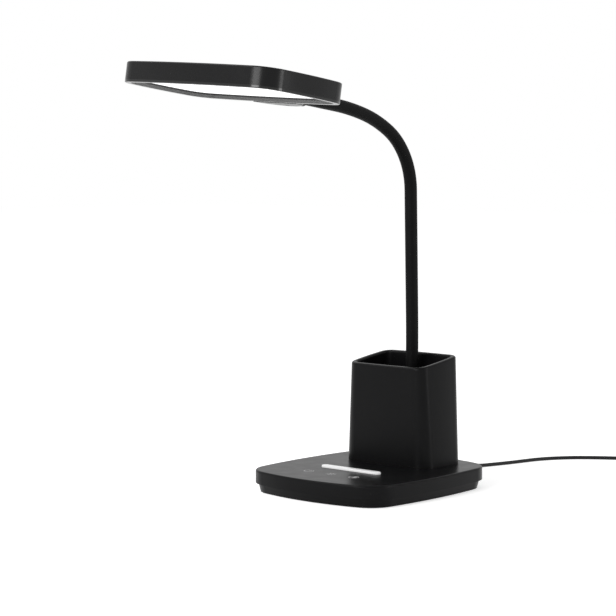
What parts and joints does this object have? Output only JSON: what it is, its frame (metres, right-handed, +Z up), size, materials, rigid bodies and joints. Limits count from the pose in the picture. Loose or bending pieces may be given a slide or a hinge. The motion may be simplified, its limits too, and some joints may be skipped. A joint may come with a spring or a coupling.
{
  "type": "desk lamp",
  "caption": "Gooseneck desk lamp with a wide flat light head, a rounded base with touch controls, and an open pen cup round the foot of the neck.",
  "frame": {"origin": "centre of the base's underside, where its mat meets the desk", "axes": "+Z up, +X to the user's right, +Y away from the user, so the head reaches towards -Y"},
  "size_m": [0.3269, 0.5276, 0.3635],
  "materials": {
    "black_plastic": "fine satin moulded texture",
    "rim_plastic": "satin",
    "dark_plastic": "satin",
    "white_plastic": "satin",
    "white_diffuser": "opal, smooth",
    "rubber": "matte",
    "steel": "zinc plated",
    "circuit_board": "solder mask",
    "copper": "plated",
    "led_plastic": "phosphor",
    "neck_silicone": "smooth silicone sleeve",
    "cord_plastic": "smooth",
    "tie_fabric": "woven hook-and-loop band"
  },
  "bodies": {
    "base": {"base_top_shell": "black_plastic", "base_bottom_shell": "black_plastic", "non_slip_mat": "rubber", "ballast_plate": "steel", "base_screws": "steel", "control_board": "circuit_board", "board_screws": "steel", "touch_springs": "copper", "light_bar": "white_diffuser", "bar_leds": "led_plastic", "pen_cup": "black_plastic", "cup_screws": "steel", "neck_socket": "steel", "neck_washer": "steel", "neck_nut": "steel", "neck_lower_tube": "neck_silicone", "cord_grommet": "cord_plastic", "cord_lead": "cord_plastic", "cord_coil": "cord_plastic", "coil_tie": "tie_fabric", "cord_tail": "cord_plastic", "plug_body": "cord_plastic", "plug_shell": "steel", "plug_tongue": "white_plastic", "plug_contacts": "copper"},
    "neck_1": {"neck_link_1": "neck_silicone"},
    "neck_2": {"neck_link_2": "neck_silicone"},
    "neck_3": {"neck_link_3": "neck_silicone"},
    "neck_4": {"neck_link_4": "neck_silicone"},
    "neck_5": {"neck_link_5": "neck_silicone"},
    "neck_6": {"neck_link_6": "neck_silicone"},
    "neck_7": {"neck_link_7": "neck_silicone"},
    "neck_8": {"neck_link_8": "neck_silicone"},
    "head": {"neck_link_9": "neck_silicone", "neck_collar": "dark_plastic", "head_shell": "black_plastic", "head_rim": "rim_plastic", "diffuser": "white_diffuser", "reflector_frame": "white_plastic", "led_board": "circuit_board", "led_chips": "led_plastic", "neck_set_screw": "steel"}
  },
  "joints": [
    {"name": "neck_bend_1_fore_aft", "type": "hinge", "parent": "base", "child": "neck_1", "pos_m": [0, 0.0582, 0.118], "axis": [1, 0, 0], "range_deg": [-15, 12]},
    {"name": "neck_bend_2_sideways", "type": "hinge", "parent": "neck_1", "child": "neck_2", "pos_m": [0, 0.05774, 0.153], "axis": [0, 0.9997, 0.0262], "range_deg": [-12, 12]},
    {"name": "neck_bend_3_fore_aft", "type": "hinge", "parent": "neck_2", "child": "neck_3", "pos_m": [0, 0.05683, 0.18798], "axis": [1, 0, 0], "range_deg": [-15, 12]},
    {"name": "neck_bend_4_sideways", "type": "hinge", "parent": "neck_3", "child": "neck_4", "pos_m": [0, 0.05591, 0.22297], "axis": [0, 0.9997, 0.0262], "range_deg": [-12, 12]},
    {"name": "neck_bend_5_fore_aft", "type": "hinge", "parent": "neck_4", "child": "neck_5", "pos_m": [0, 0.05499, 0.25796], "axis": [1, 0, 0], "range_deg": [-15, 12]},
    {"name": "neck_bend_6_sideways", "type": "hinge", "parent": "neck_5", "child": "neck_6", "pos_m": [0, 0.04573, 0.28818], "axis": [0, 0.8425, 0.5388], "range_deg": [-12, 12]},
    {"name": "neck_bend_7_fore_aft", "type": "hinge", "parent": "neck_6", "child": "neck_7", "pos_m": [0, 0.02271, 0.30995], "axis": [1, 0, 0], "range_deg": [-15, 12]},
    {"name": "neck_bend_8_sideways", "type": "hinge", "parent": "neck_7", "child": "neck_8", "pos_m": [0, -0.01054, 0.32351], "axis": [0, 0.2588, 0.9659], "range_deg": [-12, 12]},
    {"name": "neck_bend_9_fore_aft", "type": "hinge", "parent": "neck_8", "child": "head", "pos_m": [0, -0.04584, 0.33044], "axis": [1, 0, 0], "range_deg": [-15, 12]}
  ]
}
